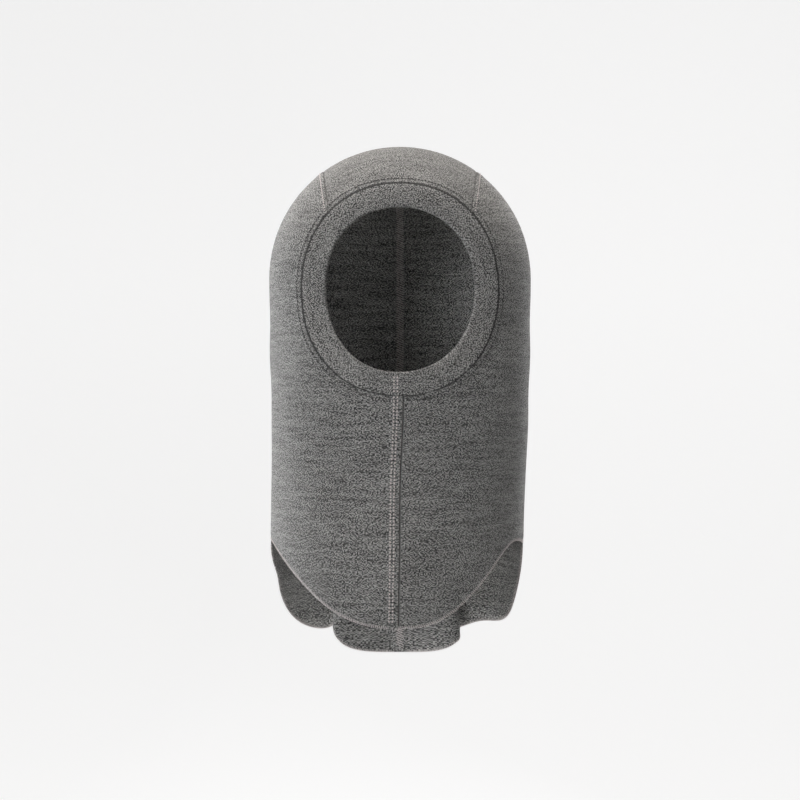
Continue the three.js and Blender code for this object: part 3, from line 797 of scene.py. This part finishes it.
def knit_material(name, shape, colours, tone, streak_gain):
    """Melange wool: loops, streaks of lighter and darker fibre, and a matt nap; with painted shade between
    the loops and in the seams' grooves, and painted light on the inside.
    """
    nodes = Nodes(name)
    uv = nodes.add("ShaderNodeUVMap", uv_map="knit_mm").outputs[0]
    wale = shape.wale_width / MM
    height, loop_tone = knit_loops(nodes, uv, wale, COURSE_SHARE * wale)
    level, fibres = melange_level(nodes, uv, loop_tone, streak_gain)
    dark_part = nodes.ramp(level, -0.42, 0.0)
    light_part = nodes.ramp(level, 0.0, 0.45)
    yarn = nodes.mix(dark_part, colour4(colours.dark_yarn), colour4(colours.middle_yarn))
    yarn = nodes.mix(light_part, yarn, colour4(colours.light_yarn))
    # Painted shade: the low parts of every loop are darker
    shade = nodes.math("MULTIPLY", nodes.math("MULTIPLY_ADD", height, 0.50, 0.66), tone)
    # Painted shade in the seams' grooves, from the map's first number
    painted_shading_map = nodes.add("ShaderNodeUVMap", uv_map="painted_shading").outputs[0]
    painted_shading = nodes.add("ShaderNodeSeparateXYZ", {0: painted_shading_map})
    in_painted_crease = nodes.ramp(painted_shading.outputs[0], 0.05, 0.55)
    painted_shade_factor = nodes.math("MULTIPLY_ADD", in_painted_crease, -PAINTED_CREASE_DARKNESS, 1.0)
    # Painted light on the inside of the cloth, from the map's second number
    inner_painted_light = nodes.math("MULTIPLY_ADD", painted_shading.outputs[1], INSIDE_PAINTED_LIGHT_GAIN, 1.0)
    shade = nodes.math("MULTIPLY", shade, nodes.math("MULTIPLY", painted_shade_factor, inner_painted_light))
    shaded = nodes.add("ShaderNodeVectorMath", {0: yarn, "Scale": shade}, operation="SCALE")
    relief = nodes.math("ADD", height, nodes.math("MULTIPLY", loop_tone, 0.5))
    bump = nodes.add("ShaderNodeBump", {"Height": relief, "Strength": 0.6, "Distance": BUMP_HEIGHT})
    nodes.finish({
        "Base Color": shaded.outputs[0],
        "Roughness": nodes.math("MULTIPLY_ADD", fibres, 0.14, 0.84),
        "Specular IOR Level": 0.22,
        "Sheen Weight": 0.32,
        "Sheen Roughness": 0.55,
        "Sheen Tint": NAP_TINT,
        "Normal": bump.outputs[0],
    })
    return nodes.material


FUZZ_SCALE = 2600.0
PLY_SCALE = 900.0


def thread_material(name, colour):
    """Spun thread: twisted plies with a soft shine."""
    nodes = Nodes(name)
    place = nodes.add("ShaderNodeTexCoord").outputs["Object"]
    fuzz = nodes.noise(place, FUZZ_SCALE, 3.0, 0.6)
    plies = nodes.add("ShaderNodeTexWave", {"Vector": place, "Scale": PLY_SCALE, "Distortion": 2.0},
                      wave_type="BANDS", bands_direction="DIAGONAL").outputs["Fac"]
    dark = tuple(c * 0.6 for c in colour) + (1.0,)
    light = tuple(min(c * 1.25, 1.0) for c in colour) + (1.0,)
    tone = nodes.math("MULTIPLY_ADD", fuzz, 0.6, nodes.math("MULTIPLY", plies, 0.4))
    bump = nodes.add("ShaderNodeBump", {"Height": plies, "Strength": 0.4, "Distance": 0.0001})
    nodes.finish({
        "Base Color": nodes.mix(tone, dark, light),
        "Roughness": nodes.math("MULTIPLY_ADD", fuzz, 0.2, 0.55),
        "Sheen Weight": 0.2,
        "Normal": bump.outputs[0],
    })
    return nodes.material


MATERIALS = {}


def material(context, name):
    """The named finish, made the first time that it is asked for."""
    if name not in MATERIALS:
        shape, colours = context.scene.balaclava_shape, context.scene.balaclava_colours
        makers = {
            "knit": lambda: knit_material("melange_knit", shape, colours, 1.0, 1.0),
            "band_knit": lambda: knit_material("band_knit", shape, colours, 1.05, 0.7),
            "thread": lambda: thread_material("seam_thread", colours.seam_thread),
            "dark_thread": lambda: thread_material("band_thread_painted_shade", colours.band_thread_painted_shade),
        }
        MATERIALS[name] = makers[name]()
    return MATERIALS[name]


def finish_piece(context, piece, slot, nodes):
    """Gives a piece its material, its place in the frame and the nodes that it stands for."""
    piece.data.materials.clear()
    piece.data.materials.append(material(context, slot))
    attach(piece, BODY)
    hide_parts(*nodes)


# ---------------------------------------------------------------- cloth operators


class BALACLAVA_OT_side_panels(bpy.types.Operator):
    """Make the two side panels, from the crown to the hem"""

    bl_idname = "balaclava.side_panels"
    bl_label = "Side Panels"

    def execute(self, context):
        shape = context.scene.balaclava_shape
        curves = seam_curves(shape)
        for name, side in (("left_side_panel", 1), ("right_side_panel", -1)):
            places = side_patch(side)
            crown = name.replace("side_panel", "crown")
            ridges = ("band", crown) if side > 0 else ("band", crown, "front", "back")
            plain = ("front", "back") if side > 0 else ()
            piece = build_panel(shape, name + "_knit", places, curves, ridges, plain, side_uvs(places))
            finish_piece(context, piece, "knit", [name])
        return {"FINISHED"}


class BALACLAVA_OT_crown_panel(bpy.types.Operator):
    """Make the crown panel over the forehead and the top of the head"""

    bl_idname = "balaclava.crown_panel"
    bl_label = "Crown Panel"

    def execute(self, context):
        shape = context.scene.balaclava_shape
        places = crown_patch()
        piece = build_panel(shape, "crown_panel_knit", places, seam_curves(shape), ("band",),
                            ("left_crown", "right_crown"), places / MM)
        finish_piece(context, piece, "knit", ["crown_panel"])
        return {"FINISHED"}


# Cells round the band, how far it wavers, and where its two ends are joined under the chin
BAND_STEPS = 420
BAND_WAVER = 0.0004
JOIN_DROP = 0.175
JOIN_SHIFT = 0.0004


def band_frames(shape, turns):
    """Seam points, directions to the fold and facing directions of the band."""
    places = opening_map(turns, BAND_WIDTH)
    seam = hood_points(shape, places)
    normal = hood_normals(shape, places)
    x, drop = oval(turns, 0.0)
    on_hood = hood_points(shape, opening_map(turns, 0.0))
    fold = np.stack([x, seam[:, 1] + BAND_FOLLOW * (on_hood[:, 1] - seam[:, 1]), CROWN_TOP - drop], axis=-1)
    inward = fold - seam
    lean = np.sum(normal * inward, axis=1) / np.sum(inward * inward, axis=1)
    face = normal - inward * lean[:, None]
    face /= np.linalg.norm(face, axis=1, keepdims=True)
    return seam, inward, face


class BALACLAVA_OT_face_band(bpy.types.Operator):
    """Make the band round the face opening, as cloth folded double"""

    bl_idname = "balaclava.face_band"
    bl_label = "Face Band"

    def execute(self, context):
        shape = context.scene.balaclava_shape
        turns = np.linspace(0, 2 * math.pi, BAND_STEPS, endpoint=False)
        seam, inward, face = band_frames(shape, turns)
        width = np.linalg.norm(inward, axis=1)
        along = inward / width[:, None]
        layer = 0.5 * shape.cloth_thickness
        fold_radius = 0.5 * BAND_THICKNESS - layer
        path = self.folded_path(fold_radius)
        tangents = np.gradient(path, axis=0)
        tangents /= np.linalg.norm(tangents, axis=1, keepdims=True)
        across = np.stack([-tangents[:, 1], tangents[:, 0]], axis=-1)
        outline = np.concatenate([path + across * layer, (path - across * layer)[::-1]])
        lengths = np.concatenate([[0], np.cumsum(np.linalg.norm(np.diff(path, axis=0), axis=1))])
        across_mm = np.concatenate([lengths, lengths[::-1]]) / MM
        rim = (width + BAND_WAVER * np.sin(3 * turns + 0.6))[:, None, None]
        share = outline[None, :, 0:1] / BAND_WIDTH
        reach = share * rim
        lift = outline[None, :, 1:2] + BAND_WAVER * np.sin(4 * turns + 1.0)[:, None, None] * share
        points = seam[:, None] + along[:, None] * reach + face[:, None] * lift
        count = len(outline)
        loop_mm = np.concatenate([[0], np.cumsum(np.linalg.norm(np.diff(seam, axis=0), axis=1))]) / MM
        uvs = np.stack(np.broadcast_arrays(loop_mm[:, None], across_mm[None, :]), axis=-1)
        # Painted shade in the groove at the band's seam and down its join under the chin
        painted_shading = painted_crease_shade(np.broadcast_to(outline[None, :, 0], (BAND_STEPS, count)), "band")
        painted_shading = painted_shading * band_painted_shade(points[..., 2])
        in_join = (points[..., 2] < seam[:, 2].mean()) * (outline[None, :, 1] > -fold_radius)
        from_join = np.abs(points[..., 0] - seam_lean(JOIN_DROP) - JOIN_SHIFT)
        painted_shading = np.maximum(painted_shading, in_join * painted_crease_shade(from_join, "join"))
        maps = {"knit_mm": uvs.reshape(-1, 2), "painted_shading": painted_shading.reshape(-1, 1) * [1, 0]}
        index = np.arange(BAND_STEPS * count).reshape(BAND_STEPS, count)
        a, b = index, np.roll(index, -1, axis=0)
        c, d = np.roll(b, -1, axis=1), np.roll(a, -1, axis=1)
        faces = np.stack([a, b, c, d], axis=-1).reshape(-1, 4)
        piece = new_piece("face_band_knit", points.reshape(-1, 3), faces, maps)
        outward_check(piece)
        finish_piece(context, piece, "band_knit", ["face_band"])
        return {"FINISHED"}

    def folded_path(self, radius):
        """Middle of the folded cloth in section: distance from the seam, and height."""
        end = BAND_WIDTH - radius
        shares = np.array((0.0, 0.012, 0.03, 0.055, 0.09, 0.15, 0.24, 0.34, 0.45, 0.56, 0.67, 0.78, 0.89))
        edge = GROOVE_DEPTH
        rounding = np.sqrt(edge ** 2 - np.maximum(edge - shares * end, 0) ** 2) - edge
        upper = np.stack([shares * end, rounding + 0.0005 * np.sin(math.pi * shares)], axis=-1)
        angles = np.linspace(0, math.pi, 11)
        bend = np.stack([end + radius * np.sin(angles), radius * (np.cos(angles) - 1)], axis=-1)
        lower = np.stack([shares[::-1] * end, np.minimum(-2 * radius, -2 * radius + rounding[::-1])], axis=-1)
        return np.concatenate([upper, bend, lower[1:]])


# ---------------------------------------------------------------- stitches


THREAD_SIDES = 5


def tube(radius, steps):
    """A short thread: a round face drawn out along the steps, as arrays of its mesh."""
    deselect_all()
    bpy.ops.mesh.primitive_circle_add(vertices=THREAD_SIDES, radius=radius, fill_type="NGON",
                                      location=steps[0], rotation=(0, QUARTER_TURN, 0))
    stitch = bpy.context.active_object
    bpy.ops.object.transform_apply(location=True, rotation=True, scale=True)
    bpy.ops.object.mode_set(mode="EDIT")
    bpy.ops.mesh.select_all(action="SELECT")
    for start, end in zip(steps, steps[1:]):
        step = tuple(b - a for a, b in zip(start, end))
        bpy.ops.mesh.extrude_region_move(TRANSFORM_OT_translate={"value": step})
    bpy.ops.mesh.select_all(action="SELECT")
    bpy.ops.mesh.normals_make_consistent(inside=False)
    bpy.ops.object.mode_set(mode="OBJECT")
    points = np.array([tuple(v.co) for v in stitch.data.vertices])
    faces = [tuple(p.vertices) for p in stitch.data.polygons]
    bpy.data.objects.remove(stitch)
    return points, faces


def arch(length, rise, sink):
    """Steps of a stitch that comes out of the cloth, runs along it and goes back in."""
    shares = (-0.5, -0.38, -0.15, 0.15, 0.38, 0.5)
    heights = (-sink, 0.45 * rise, rise, rise, 0.45 * rise, -sink)
    return [(share * length, 0.0, height) for share, height in zip(shares, heights)]


def wrap(drop, thickness, radius):
    """Steps of a stitch that goes over an edge; x is down the cloth and z is outwards."""
    low = 0.0006
    outside = [(-drop, 0.0), (-0.8 * drop, radius), (-0.2 * drop, radius), (low, -0.25 * thickness)]
    inside = [(x, -thickness - z) for x, z in reversed(outside)]
    return [(x, 0.0, z) for x, z in outside + inside]


def copies(context, name, slot, node, stitch, frames):
    """One object of a stitch set at every frame: origin, along, across and outward."""
    points, faces = stitch
    origins, along, across, outward = frames
    placed = origins[:, None] + points[None, :, 0:1] * along[:, None] \
        + points[None, :, 1:2] * across[:, None] + points[None, :, 2:3] * outward[:, None]
    count = len(points)
    all_faces = [tuple(i + k * count for i in face) for k in range(len(origins)) for face in faces]
    piece = new_piece(name, placed.reshape(-1, 3), all_faces)
    outward_check(piece)
    finish_piece(context, piece, slot, [node])


def unit(vectors):
    return vectors / np.maximum(np.linalg.norm(vectors, axis=-1, keepdims=True), 1e-9)


# How far off the cloth a stitch's place is looked for, outside and inside the hood
OUTSIDE_START = 0.004
INSIDE_START = 0.0085
LOOK_REACH = 0.012
EYE_DISTANCE = 0.14
EYE_REACH = 0.2
PATH_STEP = 0.0005


def cloth_tree():
    """Every face of the finished cloth, for setting stitches on it."""
    points, faces = [], []
    for name in ("left_side_panel_knit", "right_side_panel_knit", "crown_panel_knit", "face_band_knit"):
        mesh = bpy.data.objects[name].data
        shift = len(points)
        points.extend(v.co.copy() for v in mesh.vertices)
        faces.extend([i + shift for i in p.vertices] for p in mesh.polygons)
    return BVHTree.FromPolygons(points, faces)


def spaced(curve, pitch):
    """Places at even steps along a dense curve, and the curve's share at each."""
    lengths = np.concatenate([[0], np.cumsum(np.linalg.norm(np.diff(curve, axis=0), axis=1))])
    count = max(int(lengths[-1] / pitch), 1)
    wanted = (np.arange(count) + 0.5) * lengths[-1] / count
    return np.interp(wanted, lengths, np.linspace(0, 1, len(curve)))


def surface_rows(shape, tree, path, pitch, inside=False):
    """Frames for stitches along a path on the map, laid on the cloth's real surface."""
    shares = spaced(hood_points(shape, path(np.linspace(0, 1, CURVE_STEPS))), pitch)
    places = path(shares)
    points = hood_points(shape, places)
    normals = hood_normals(shape, places)
    along = unit(hood_points(shape, path(shares + PATH_STEP)) - points)
    side = -1.0 if inside else 1.0
    start = points + normals * (-INSIDE_START if inside else OUTSIDE_START)
    depth = shape.cloth_thickness + ALLOWANCE_RISE if inside else 0.0
    landed = []
    for origin, normal, plain in zip(start, normals, points - normals * depth):
        hit = tree.ray_cast(Vector(origin), Vector(-side * normal), LOOK_REACH)[0]
        landed.append(plain if hit is None else np.array(hit))
    outward = side * normals
    return np.array(landed), along, unit(np.cross(outward, along)), outward


def joined(*rows):
    return tuple(np.concatenate(parts) for parts in zip(*rows))


def middle_rows(tree, x, top, bottom, pitch, facing):
    """Frames down a line at x, found by looking at the cloth from in front or behind."""
    count = int((top - bottom) / pitch)
    frames = []
    for index in range(count):
        z = top - (index + 0.5) * pitch
        lean = float(seam_lean(CROWN_TOP - z)) if facing < 0 else 0.0
        origin = Vector((x + lean, facing * EYE_DISTANCE, z))
        hit, normal, _, _ = tree.ray_cast(origin, Vector((0, -facing, 0)), EYE_REACH)
        if hit is None:
            continue
        outward = np.array(normal)
        along = unit(np.array([0.0, 0.0, -1.0]) + outward * outward[2])
        frames.append((np.array(hit), along, unit(np.cross(outward, along)), outward))
    return tuple(np.array(part) for part in zip(*frames))


TOPSTITCH_RADIUS = 0.00058
OVERLOCK_RADIUS = 0.00030
OVERLOCK_WIDTH = 0.0062
OVERLOCK_SLANT = 0.45
BAND_OVERLOCK_OFFSET = 0.003
HEM_STITCH_DROP = 0.0017
HEM_STITCH_SLANT = 0.35
HEM_STITCH_SINK = 0.0004

# How far a row of stitches stops short of a hem or a crossing seam
HEM_STOP = 0.003
SEAM_STOP = 0.006
OVERLOCK_HEM_STOP = 0.004
FOLD_STOP = 0.002


class BALACLAVA_OT_middle_topstitch(bpy.types.Operator):
    """Sew the twin rows beside the front and back seams and over the band's join"""

    bl_idname = "balaclava.middle_topstitch"
    bl_label = "Middle Topstitch"

    def execute(self, context):
        shape = context.scene.balaclava_shape
        tree = cloth_tree()
        pitch = shape.stitch_pitch
        stitch = tube(TOPSTITCH_RADIUS, arch(0.58 * pitch, 0.0006, 0.0004))
        chin = CROWN_TOP - OPENING_DROP - OPENING_HEIGHT / 2
        band_edge = chin - BAND_WIDTH
        rows = TOPSTITCH_ROWS
        join = joined(*(middle_rows(tree, -x, chin - FOLD_STOP, band_edge, pitch, -1) for x in rows))
        copies(context, "face_band_join_stitches", "thread", "face_band_join_thread", stitch, join)
        front_end = CROWN_TOP - FRONT_DROP + HEM_STOP
        front = joined(*(middle_rows(tree, -x, band_edge, front_end, pitch, -1) for x in rows))
        copies(context, "front_seam_topstitches", "thread", "front_seam_topstitch", stitch, front)
        back_top = CROWN_TOP - float(drop_at_run(np.array(CROWN_BACK_RUN + SEAM_STOP)))
        back_end = CROWN_TOP - BACK_DROP + HEM_STOP
        back = joined(*(middle_rows(tree, -x, back_top, back_end, pitch, 1) for x in rows))
        copies(context, "back_seam_topstitches", "thread", "back_seam_topstitch", stitch, back)
        return {"FINISHED"}


class BALACLAVA_OT_curved_topstitch(bpy.types.Operator):
    """Sew the rows round the face band and along the crown panel's sides"""

    bl_idname = "balaclava.curved_topstitch"
    bl_label = "Curved Topstitch"

    def execute(self, context):
        shape = context.scene.balaclava_shape
        tree = cloth_tree()
        pitch = shape.stitch_pitch
        stitch = tube(0.7 * TOPSTITCH_RADIUS, arch(0.5 * pitch, 0.0003, 0.0005))
        sunk = tube(0.75 * TOPSTITCH_RADIUS, arch(0.6 * pitch, 0.00012, 0.0005))
        around = surface_rows(shape, tree, band_path(BAND_STITCH_OFFSET), pitch)
        # The band's stitches are dark as painted shade of their needle holes
        copies(context, "face_band_topstitches", "dark_thread", "face_band_topstitch", sunk, around)
        for name, side in (("left", 1), ("right", -1)):
            row = surface_rows(shape, tree, crown_path(side, CROWN_STITCH_OFFSET), pitch)
            copies(context, name + "_crown_topstitches", "thread", name + "_crown_topstitch", stitch, row)
        return {"FINISHED"}


def band_path(offset):
    """A path round the face opening, outside the band's seam."""
    return lambda share: opening_map(2 * math.pi * share, BAND_WIDTH + offset)


def seam_path(start, end, is_back):
    """A path down the middle, which stops short of the seam above and the hem below."""
    first, last = start + SEAM_STOP, end - OVERLOCK_HEM_STOP
    return lambda share: middle_line(first + (last - first) * share, is_back)


def crown_path(side, offset):
    """A path beside the crown panel's edge, from the band to the middle of the back."""
    return lambda share: crown_edge(-0.96 + 1.95 * share, offset) * [side, 1]


class BALACLAVA_OT_overlock(bpy.types.Operator):
    """Sew the slanted threads that bind every seam's allowance inside the hood"""

    bl_idname = "balaclava.overlock"
    bl_label = "Inside Overlock"

    def execute(self, context):
        shape = context.scene.balaclava_shape
        tree = cloth_tree()
        pitch = 1.15 * shape.hem_pitch
        bar = tube(OVERLOCK_RADIUS, arch(OVERLOCK_WIDTH, 0.0003, 0.0002))
        paths = {
            "front_seam_overlock": seam_path(CHIN_RUN, FRONT_HEM_RUN, False),
            "back_seam_overlock": seam_path(CROWN_BACK_RUN, BACK_HEM_RUN, True),
            "left_crown_overlock": crown_path(1, 0.0),
            "right_crown_overlock": crown_path(-1, 0.0),
            "face_band_overlock": band_path(BAND_OVERLOCK_OFFSET),
        }
        for node, path in paths.items():
            landed, along, across, outward = surface_rows(shape, tree, path, pitch, inside=True)
            turned = unit(across + OVERLOCK_SLANT * along)
            copies(context, node + "_stitches", "thread", node, bar,
                   (landed, turned, unit(np.cross(outward, turned)), outward))
        return {"FINISHED"}


class BALACLAVA_OT_hem_overlock(bpy.types.Operator):
    """Bind the front and back hems with threads that go over the edge"""

    bl_idname = "balaclava.hem_overlock"
    bl_label = "Hem Overlock"

    def execute(self, context):
        shape = context.scene.balaclava_shape
        stitch = tube(0.85 * OVERLOCK_RADIUS,
                      wrap(HEM_STITCH_DROP, shape.cloth_thickness - 2 * HEM_STITCH_SINK, 0.0001))
        for name, middle in (("front", 0.0), ("back", math.pi)):
            frames = self.edge_frames(shape, middle)
            copies(context, name + "_hem_stitches", "thread", name + "_hem_overlock", stitch, frames)
        return {"FINISHED"}

    def edge_frames(self, shape, middle):
        """Frames along a hem: down off the cloth, along the edge, and outwards."""
        def path(share):
            angle = middle + (2 * share - 1) * 0.985 * QUARTER_TURN
            return to_map(angle, run_at_drop(hem_drop(angle)))

        shares = spaced(hood_points(shape, path(np.linspace(0, 1, 4 * CURVE_STEPS))), shape.hem_pitch)
        places = path(shares)
        points = hood_points(shape, places)
        outward = hood_normals(shape, places)
        along = unit(hood_points(shape, path(shares + 0.0004)) - points)
        down = unit(np.cross(along, outward))
        down = down * np.where(down[:, 2:3] > 0, -1.0, 1.0)
        slant = unit(down + HEM_STITCH_SLANT * along)
        return points - outward * HEM_STITCH_SINK, slant, unit(np.cross(outward, slant)), outward


# ---------------------------------------------------------------- stage


NEUTRAL = (0.985, 0.992, 1.0)
WARM = (1.0, 0.95, 0.90)
WHITE = (1.0, 1.0, 1.0, 1.0)

# Each light's place, width, power and colour
LIGHTS = {
    "key_light": ((-1.4, -1.9, 0.1), 1.1, 25.0, NEUTRAL),
    "top_light": ((0.0, 0.1, 1.6), 1.0, 38.0, WARM),
    "left_light": ((-1.6, 1.2, -0.4), 0.9, 44.0, NEUTRAL),
    "right_light": ((1.2, 1.9, 0.0), 0.9, 30.0, NEUTRAL),
    "front_light": ((0.8, -2.3, -0.1), 0.8, 3.0, NEUTRAL),
    "low_light": ((-0.7, -1.2, -1.6), 0.8, 7.5, NEUTRAL),
}
LIGHT_TARGET = Vector((0, 0, -0.17))
SKY_STRENGTH = 0.04
WALL_GLOW = 0.565
FLOOR_GLOW = 0.16
FLOOR_GAP = 0.5
CAMERA_DISTANCE = 2.1
CAMERA_HEIGHT = -0.181
FRAME_WIDTH = 0.579


class BALACLAVA_OT_stage(bpy.types.Operator):
    """Make the pale floor and backdrop, the studio lights and the camera"""

    bl_idname = "balaclava.stage"
    bl_label = "Stage"

    def execute(self, context):
        floor = self.backdrop(context)
        self.lights(context)
        self.camera(context)
        return {"FINISHED"}

    def backdrop(self, context):
        """A floor that curves up into a wall."""
        deselect_all()
        depth, rise, half = 2.2, 0.9, 5.0
        height = PANEL_LOW.z - FLOOR_GAP
        profile = [(-6.0, 0.0), (depth, 0.0)]
        turns = [math.radians(10 * step) for step in range(1, 9)]
        profile += [(depth + rise * math.sin(t), rise * (1 - math.cos(t))) for t in turns]
        profile += [(depth + rise, rise), (depth + rise, 6.0)]
        points = [(x, y, height + z) for y, z in profile for x in (-half, half)]
        faces = [(2 * i, 2 * i + 1, 2 * i + 3, 2 * i + 2) for i in range(len(profile) - 1)]
        piece = new_piece("backdrop", points, faces)
        nodes = Nodes("pale_paper")
        place = nodes.add("ShaderNodeTexCoord").outputs["Object"]
        tone = nodes.ramp(nodes.noise(place, 3.0, 2.0), 0.0, 1.0)
        colour = context.scene.balaclava_colours.floor
        darker = tuple(c * 0.99 for c in colour) + (1.0,)
        behind = nodes.ramp(nodes.add("ShaderNodeSeparateXYZ", {0: place}).outputs[1], 0.4, 2.0)
        nodes.finish({
            "Base Color": nodes.mix(tone, darker, colour4(colour)),
            "Roughness": 0.9,
            "Emission Color": WHITE,
            "Emission Strength": nodes.math("MULTIPLY_ADD", behind, WALL_GLOW, FLOOR_GLOW),
        })
        piece.data.materials.append(nodes.material)
        return piece

    def lights(self, context):
        """Soft lights overhead, in front, below and behind on both sides, and an even sky."""
        for name, (place, size, power, tint) in LIGHTS.items():
            data = bpy.data.lights.new(name, "AREA")
            data.size = size
            data.energy = power
            data.color = tint
            light = bpy.data.objects.new(name, data)
            context.scene.collection.objects.link(light)
            light.location = place
            light.rotation_euler = (LIGHT_TARGET - light.location).to_track_quat("-Z", "Y").to_euler()
        world = bpy.data.worlds.new("studio_sky")
        world.use_nodes = True
        sky = world.node_tree.nodes["Background"]
        sky.inputs["Color"].default_value = WHITE
        sky.inputs["Strength"].default_value = SKY_STRENGTH
        context.scene.world = world
        context.scene.view_settings.view_transform = "Standard"

    def camera(self, context):
        """A long lens from in front, level with the middle of the hood."""
        data = bpy.data.cameras.new("camera")
        data.sensor_width = 36.0
        data.lens = data.sensor_width * CAMERA_DISTANCE / FRAME_WIDTH
        camera = bpy.data.objects.new("camera", data)
        context.scene.collection.objects.link(camera)
        camera.location = (0.0, -CAMERA_DISTANCE, CAMERA_HEIGHT)
        camera.rotation_euler = (math.radians(90), 0, 0)
        context.scene.camera = camera


class BALACLAVA_PT_panel(bpy.types.Panel):
    """Lists the pieces of the balaclava and its sizes and colours"""

    bl_label = "Knitted Balaclava"
    bl_idname = "BALACLAVA_PT_panel"
    bl_space_type = "VIEW_3D"
    bl_region_type = "UI"
    bl_category = "Balaclava"

    def draw(self, context):
        for operator in OPERATORS:
            self.layout.operator(operator.bl_idname)
        for group in (context.scene.balaclava_shape, context.scene.balaclava_colours):
            for name in group.__annotations__:
                self.layout.prop(group, name)


OPERATORS = (
    BALACLAVA_OT_stage,
    BALACLAVA_OT_side_panels,
    BALACLAVA_OT_crown_panel,
    BALACLAVA_OT_face_band,
    BALACLAVA_OT_middle_topstitch,
    BALACLAVA_OT_curved_topstitch,
    BALACLAVA_OT_overlock,
    BALACLAVA_OT_hem_overlock,
)
CLASSES = (BalaclavaShape, BalaclavaColours) + OPERATORS + (BALACLAVA_PT_panel,)


def register():
    for cls in CLASSES:
        bpy.utils.register_class(cls)
    bpy.types.Scene.balaclava_shape = PointerProperty(type=BalaclavaShape)
    bpy.types.Scene.balaclava_colours = PointerProperty(type=BalaclavaColours)


def unregister():
    del bpy.types.Scene.balaclava_colours
    del bpy.types.Scene.balaclava_shape
    for cls in reversed(CLASSES):
        bpy.utils.unregister_class(cls)


def main():
    register()
    for operator in OPERATORS:
        category, name = operator.bl_idname.split(".")
        getattr(getattr(bpy.ops, category), name)()


if __name__ == "__main__":
    main()
